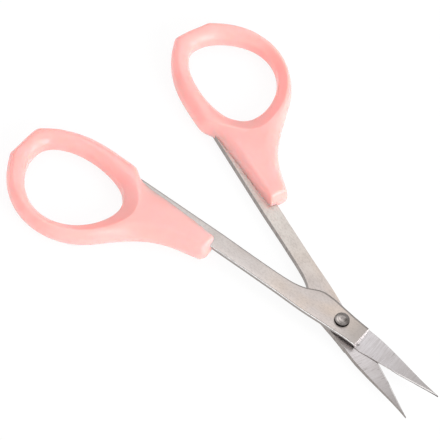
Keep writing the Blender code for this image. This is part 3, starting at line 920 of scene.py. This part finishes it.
def finish_blade(item, reach, finishes):
    """Gives a blade's faces their finishes. Where several tests pick a face, the last counts."""
    for made in finishes:
        item.data.materials.append(made)
    past_step = STEP_REACH + STEP_RUN_BACK / 2
    bevel_start = STEP_REACH + BEVEL_START_SHARE * (reach - STEP_REACH)
    give(item, GROUND, lambda at, n: n.z > FACE_SLOPE and at.x > past_step)
    give(item, GROUND, lambda at, n: n.z < -FACE_SLOPE and at.x > INNER_GRIND_START)
    give(item, SHEARED, lambda at, n: abs(n.z) < FACE_SLOPE)
    give(item, SHEARED, lambda at, n: n.z > STEEP_SLOPE and n.y > BACK_SLOPE)
    # Painted light: the cutting side's walls take a paler copy of the sheared finish
    give(item, PAINTED_LIGHT_WALL, lambda at, n: abs(n.z) < STEEP_SLOPE and n.y < 0 and at.x < bevel_start)
    give(item, HONED, lambda at, n: (
        abs(n.z) < WALL_SLOPE and n.y < 0 and past_step < at.x < bevel_start
    ))
    # Painted dark reflection: those walls near the tip take a darker copy of the sheared finish
    give(item, DARK_REFLECTION_WALL, lambda at, n: abs(n.z) < STEEP_SLOPE and n.y < 0 and at.x > bevel_start)
    give(item, ROUNDED, lambda at, n: (
        STEEP_SLOPE < n.z < FACE_SLOPE and n.y < 0 and at.x < past_step
    ))
    give(item, HONED, lambda at, n: (
        WALL_SLOPE < n.z < FACE_SLOPE and n.y < 0 and at.x > bevel_start
    ))
    give(item, HONED, lambda at, n: (
        -FACE_SLOPE > n.z > -1 + FLAT_SLOPE and n.y < 0 and at.x > past_step
    ))
    give(item, HONED, lambda at, n: (
        n.x > STEP_FACE_SLOPE and abs(at.x - STEP_REACH) < STEP_RUN_EDGE
    ))


def ring(radius, height):
    """Places round the rivet's axis."""
    turns = [2 * math.pi * side / TURNED_SIDES for side in range(TURNED_SIDES)]
    return [Vector((radius * math.cos(turn), radius * math.sin(turn), height)) for turn in turns]


def rivet(name, finishes):
    """The rivet, grown ring by ring from the top of its dome to its flat tail.

    Its finishes are those of the turned dome and tail and of the rougher sides under them, whose
    near-black colour is painted shade.
    """
    seat = PLATE_TOP + SEAT_GAP
    rise = HEAD_HEIGHT - HEAD_RIM
    dome_radius = (HEAD_RADIUS ** 2 + rise ** 2) / (2 * rise)
    half_angle = math.asin(HEAD_RADIUS / dome_radius)
    centre = seat + HEAD_HEIGHT - dome_radius
    profile = []
    for step in range(1, DOME_STEPS + 1):
        turn = half_angle * step / DOME_STEPS
        profile.append((dome_radius * math.sin(turn), centre + dome_radius * math.cos(turn)))
    profile += [
        (HEAD_RADIUS - HEAD_UNDERCUT, seat), (SHAFT_RADIUS, seat), (SHAFT_RADIUS, -seat),
        (TAIL_RADIUS, -seat), (TAIL_RADIUS, TAIL_CHAMFER - seat - TAIL_HEIGHT),
        (TAIL_RADIUS - TAIL_CHAMFER, -seat - TAIL_HEIGHT),
    ]
    rows = [ring(radius, height) for radius, height in profile]
    item = first_row(name, rows[0], HEAD_RADIUS)
    for start, end in zip(rows, rows[1:]):
        extrude_row(start, end, closed=True)
    for row, height in ((rows[0], seat + HEAD_HEIGHT), (rows[-1], -seat - TAIL_HEIGHT)):
        middle = [Vector((v.x / 2, v.y / 2, height)) for v in row]
        extrude_row(row, middle, closed=True)
        bpy.ops.mesh.merge(type="CENTER")
    face_outwards()
    bpy.ops.object.shade_smooth_by_angle(angle=SMOOTH_ANGLE)
    for made in finishes:
        item.data.materials.append(made)
    # Painted shade: the rivet's sides, under its head and round its tail, take the near-black
    # finish
    give(item, SHADED_SIDES, lambda at, n: abs(n.z) < WALL_SLOPE)
    settle(item, False)
    return item


def add_camera():
    """Camera at the photograph's angle."""
    away = Vector((
        math.sin(VIEW_AZIMUTH) * math.cos(VIEW_ELEVATION),
        -math.cos(VIEW_AZIMUTH) * math.cos(VIEW_ELEVATION),
        math.sin(VIEW_ELEVATION),
    ))
    bpy.ops.object.camera_add(location=VIEW_TARGET + away * VIEW_DISTANCE)
    camera = bpy.context.object
    level = (-away).to_track_quat("-Z", "Y").to_matrix()
    camera.rotation_euler = (level @ Matrix.Rotation(VIEW_ROLL, 3, "Z")).to_euler()
    camera.data.lens = LENS
    camera.data.sensor_width = SENSOR
    camera.data.clip_start = NEAREST_SEEN
    camera.data.clip_end = FARTHEST_SEEN
    bpy.context.scene.camera = camera


def add_floor():
    """Matt paper that camera and steel see as almost white, so that little of its shadow shows."""
    bpy.ops.mesh.primitive_plane_add(size=FLOOR_SIZE, location=(0, 0, cad_low[2]))
    floor = bpy.context.object
    floor.name = "floor"
    made, tree, shader = material("matt_white_paper", base_color="#FFFFFF", roughness=0.9)
    path = node(tree, "ShaderNodeLightPath").outputs
    inputs = {0: path["Is Camera Ray"], 1: path["Is Glossy Ray"]}
    seen = node(tree, "ShaderNodeMath", inputs).outputs[0]
    inputs = {0: seen, 1: path["Is Transmission Ray"]}
    seen = node(tree, "ShaderNodeMath", inputs, use_clamp=True).outputs[0]
    inputs = {0: seen, 1: PAPER_WHITE}
    share = node(tree, "ShaderNodeMath", inputs, operation="MULTIPLY").outputs[0]
    glow = node(tree, "ShaderNodeEmission", {"Color": "#FFFFFF", "Strength": 1.0}).outputs[0]
    inputs = {0: share, 1: shader.outputs[0], 2: glow}
    paper = node(tree, "ShaderNodeMixShader", inputs).outputs[0]
    tree.links.new(paper, tree.nodes["Material Output"].inputs["Surface"])
    floor.data.materials.append(made)


def add_softbox(side, tilt, size, level):
    """A square lamp at an azimuth and a height above the table, facing the scissors.

    Its power is the one that makes its surface as bright as its level.
    """
    across = math.cos(tilt)
    away = Vector((across * math.cos(side), across * math.sin(side), math.sin(tilt)))
    bpy.ops.object.light_add(type="AREA", location=VIEW_TARGET + away * SOFTBOX_DISTANCE)
    lamp = bpy.context.object
    lamp.data.shape = "SQUARE"
    lamp.data.size = size
    lamp.data.energy = level * math.pi * size ** 2
    lamp.rotation_euler = away.to_track_quat("Z", "Y").to_euler()


def add_lights():
    """Softboxes round the table in a pale room, the strongest beyond the tips."""
    world = bpy.data.worlds.new("studio")
    bpy.context.scene.world = world
    world.use_nodes = True
    background = world.node_tree.nodes["Background"]
    fill(background.inputs["Color"], "#FFFFFF")
    fill(background.inputs["Strength"], ROOM_LEVEL)
    for side, tilt, size, level in SOFTBOXES:
        add_softbox(math.radians(side), math.radians(tilt), size, level)


plastic = moulded_plastic("moulded_pink_plastic")

for side, turned_over, reach, shank_colour, heel_colour, tip_colour in HALVES:
    piece = handle(side + "_moulded_handle", turned_over)
    piece.data.materials.append(plastic)
    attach(piece, side + "_half")
    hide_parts(side + "_handle")
    turn = half_turn(turned_over)
    finishes = (
        satin_steel("satin_stainless_steel_" + side, turn, shank_colour),
        cross_ground_steel("cross_ground_stainless_steel_" + side, turn, heel_colour, tip_colour),
        sheared_steel("sheared_stainless_steel_" + side, turn, *SHEARED_COLOURS),
        tumbled_steel("tumbled_stainless_steel_" + side, turn),
        honed_steel("honed_stainless_steel_" + side, turn),
        # A paler and a darker copy of the sheared finish: painted light and painted dark reflection
        sheared_steel("worn_sheared_stainless_steel_" + side, turn, *PAINTED_LIGHT_COLOURS),
        sheared_steel("painted_reflection_stainless_steel_" + side, turn, *DARK_REFLECTION_COLOURS),
    )
    piece = blade(side + "_ground_blade", turned_over, reach, finishes)
    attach(piece, side + "_half")
    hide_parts(side + "_blade")

# The rivet's second finish is near-black: painted shade on its sides
finishes = (turned_steel("turned_steel"), sheared_steel("shaded_rough_turned_steel", 0, *SHADED_SIDE_COLOURS))
piece = rivet("turned_rivet", finishes)
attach(piece, "front_half")
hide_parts("pivot_rivet")

add_camera()
add_floor()
add_lights()

bpy.context.scene.view_settings.view_transform = "Standard"
